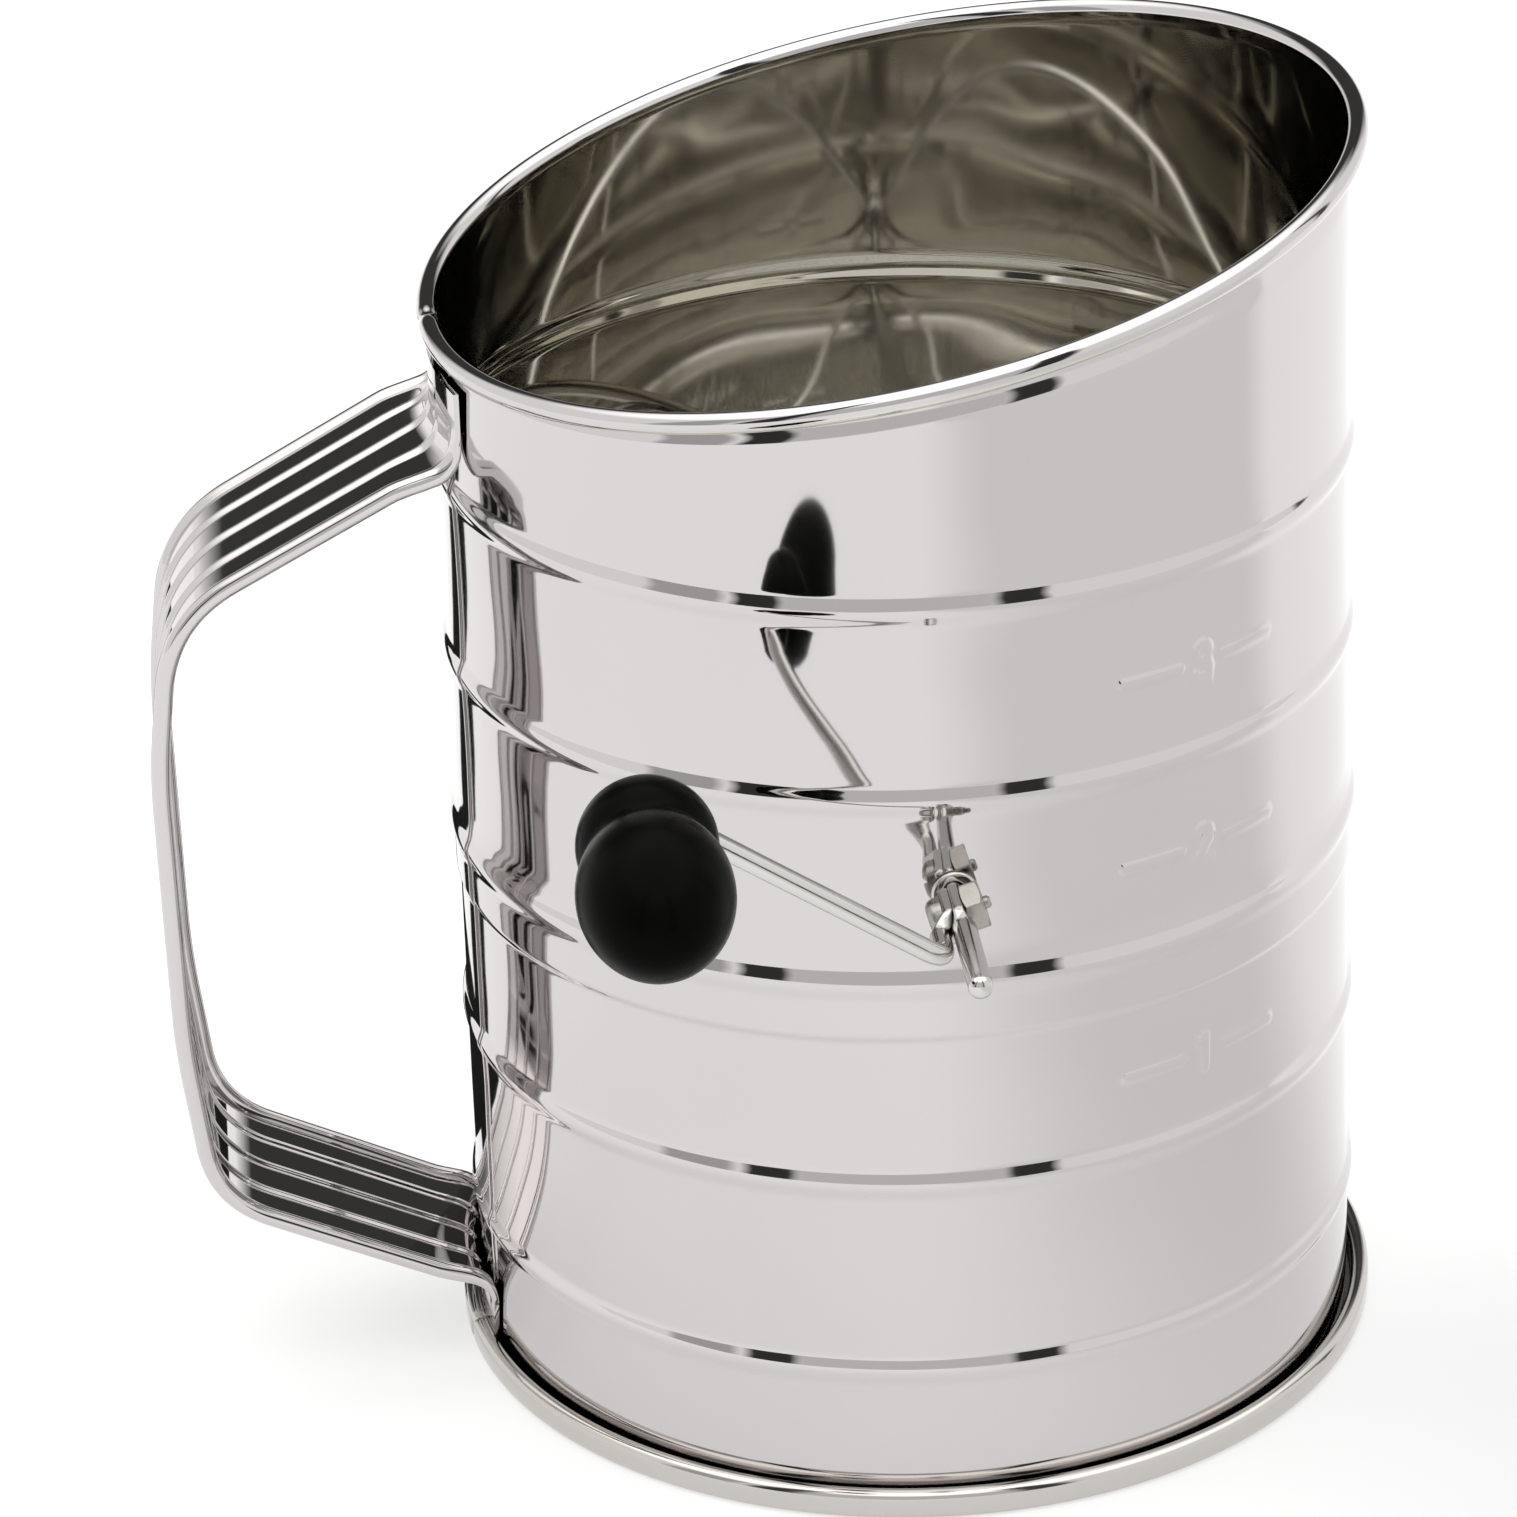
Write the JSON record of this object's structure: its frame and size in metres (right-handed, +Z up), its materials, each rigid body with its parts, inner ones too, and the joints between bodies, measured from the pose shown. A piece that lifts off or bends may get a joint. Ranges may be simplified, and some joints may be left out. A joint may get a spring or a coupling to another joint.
{
  "type": "hand-crank flour sifter",
  "caption": "Round hand-crank flour sifter with a slanted wired mouth, ribbed strap handle, woven bowl screen, bowed wire agitator and a side crank with a two-bulb knob.",
  "frame": {"origin": "on the surface the sifter stands on, under the middle of the whole object's box, handle and knob included", "axes": "+Z up, -X towards the handle, -Y towards the crank; the mouth is high on the +X side"},
  "size_m": [0.1518, 0.1668, 0.1601],
  "materials": {
    "polished_steel": "polished",
    "ring_steel": "satin",
    "steel_wire": "polished",
    "woven_screen": "satin",
    "plated_hardware": "satin",
    "black_plastic": "gloss"
  },
  "bodies": {
    "can": {"can_body": "polished_steel", "rim_wire": "steel_wire", "base_ring": "polished_steel", "handle_strap": "polished_steel", "screen_mesh": "woven_screen", "screen_ring_upper": "ring_steel", "screen_ring_lower": "ring_steel", "front_bushing": "ring_steel", "rear_bushing": "ring_steel", "front_thrust_washer": "plated_hardware", "rear_thrust_washer": "plated_hardware"},
    "crank": {"agitator_shaft": "steel_wire", "front_hub": "plated_hardware", "rear_hub": "plated_hardware", "agitator_wire_1": "steel_wire", "agitator_wire_2": "steel_wire", "agitator_wire_3": "steel_wire", "agitator_wire_4": "steel_wire", "crank_arm": "steel_wire", "crank_screw": "plated_hardware", "crank_nut": "plated_hardware", "rear_cap": "plated_hardware"},
    "knob": {"knob": "black_plastic"}
  },
  "joints": [
    {"name": "crank_turn", "type": "hinge", "parent": "can", "child": "crank", "pos_m": [0.01725, 0, 0.0837], "axis": [0, -1, 0], "continuous": true},
    {"name": "knob_spin", "type": "hinge", "parent": "crank", "child": "knob", "pos_m": [-0.01965, -0.04855, 0.1051], "axis": [0, -1, 0], "continuous": true}
  ]
}
